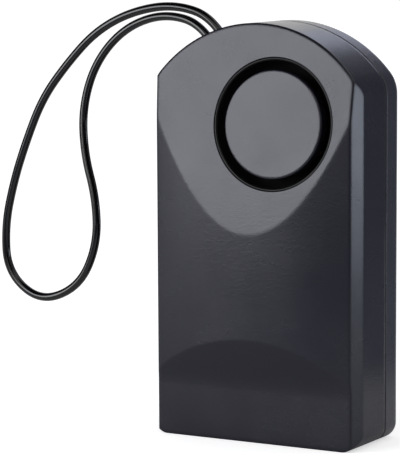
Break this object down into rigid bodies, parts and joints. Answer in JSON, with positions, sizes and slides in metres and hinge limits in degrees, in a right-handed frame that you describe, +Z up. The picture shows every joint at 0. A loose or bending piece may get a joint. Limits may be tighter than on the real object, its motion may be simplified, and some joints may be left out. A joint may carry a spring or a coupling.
{
  "type": "door handle alarm",
  "caption": "Battery siren box with a cord loop that hangs from a door handle, leaning round-grilled face, side switch and dial, tilt-out battery door.",
  "frame": {"origin": "middle of the flat bottom, centred on width and depth of the case", "axes": "+X to the right seen from the face, -Y out of the face, +Z up"},
  "size_m": [0.1273, 0.0329, 0.1236],
  "materials": {
    "case_plastic": "satin moulded black with a fine grain",
    "siren_plastic": "polished black",
    "cord_jacket": "glossy black jacket",
    "outlet_rubber": "soft black",
    "sounder_brass": "bright",
    "sounder_ceramic": "fired ceramic with a silvered face",
    "board_laminate": "solder mask",
    "chip_epoxy": "moulded epoxy",
    "resistor_lacquer": "lacquered",
    "ferrite": "pressed ferrite",
    "copper_wire": "enamelled copper",
    "capacitor_sleeve": "shrunk sleeve",
    "plated_steel": "zinc plated",
    "stud_chrome": "nickel plated",
    "battery_jacket": "printed steel can, left plain",
    "knob_plastic": "satin black",
    "red_jacket": "wire jacket",
    "black_jacket": "wire jacket"
  },
  "bodies": {
    "case": {"front_housing": "case_plastic", "back_housing": "case_plastic", "siren_cup": "siren_plastic", "siren_cap": "case_plastic", "sounder_plate": "sounder_brass", "sounder_ceramic": "sounder_ceramic", "sounder_holder": "siren_plastic", "circuit_board": "board_laminate", "control_chip": "chip_epoxy", "resistors": "resistor_lacquer", "boost_coil": "ferrite", "coil_winding": "copper_wire", "storage_capacitor": "capacitor_sleeve", "driver_transistor": "chip_epoxy", "mode_switch": "plated_steel", "sensitivity_pot": "plated_steel", "battery": "battery_jacket", "battery_studs": "stud_chrome", "battery_snap": "black_jacket", "red_lead": "red_jacket", "black_lead": "black_jacket", "siren_leads": "red_jacket", "cord_lead": "black_jacket", "cord_loop": "cord_jacket", "cord_outlet": "outlet_rubber", "cord_clamp": "sounder_brass", "clamp_screw": "plated_steel", "board_screws": "plated_steel", "case_screws": "plated_steel"},
    "battery_door": {"battery_door": "case_plastic"},
    "mode_knob": {"mode_knob": "knob_plastic"},
    "sensitivity_wheel": {"sensitivity_wheel": "knob_plastic"}
  },
  "joints": [
    {"name": "door_tilt", "type": "hinge", "parent": "case", "child": "battery_door", "pos_m": [0, 0.01645, 0.008], "axis": [-1, 0, 0], "range_deg": [0, 60]},
    {"name": "mode_slide", "type": "slide", "parent": "case", "child": "mode_knob", "axis": [0, 0, 1], "range_m": [0, 0.004]},
    {"name": "sensitivity_turn", "type": "hinge", "parent": "case", "child": "sensitivity_wheel", "pos_m": [-0.0255, -0.0023, 0.03985], "axis": [0, 1, 0], "range_deg": [0, 270]}
  ]
}
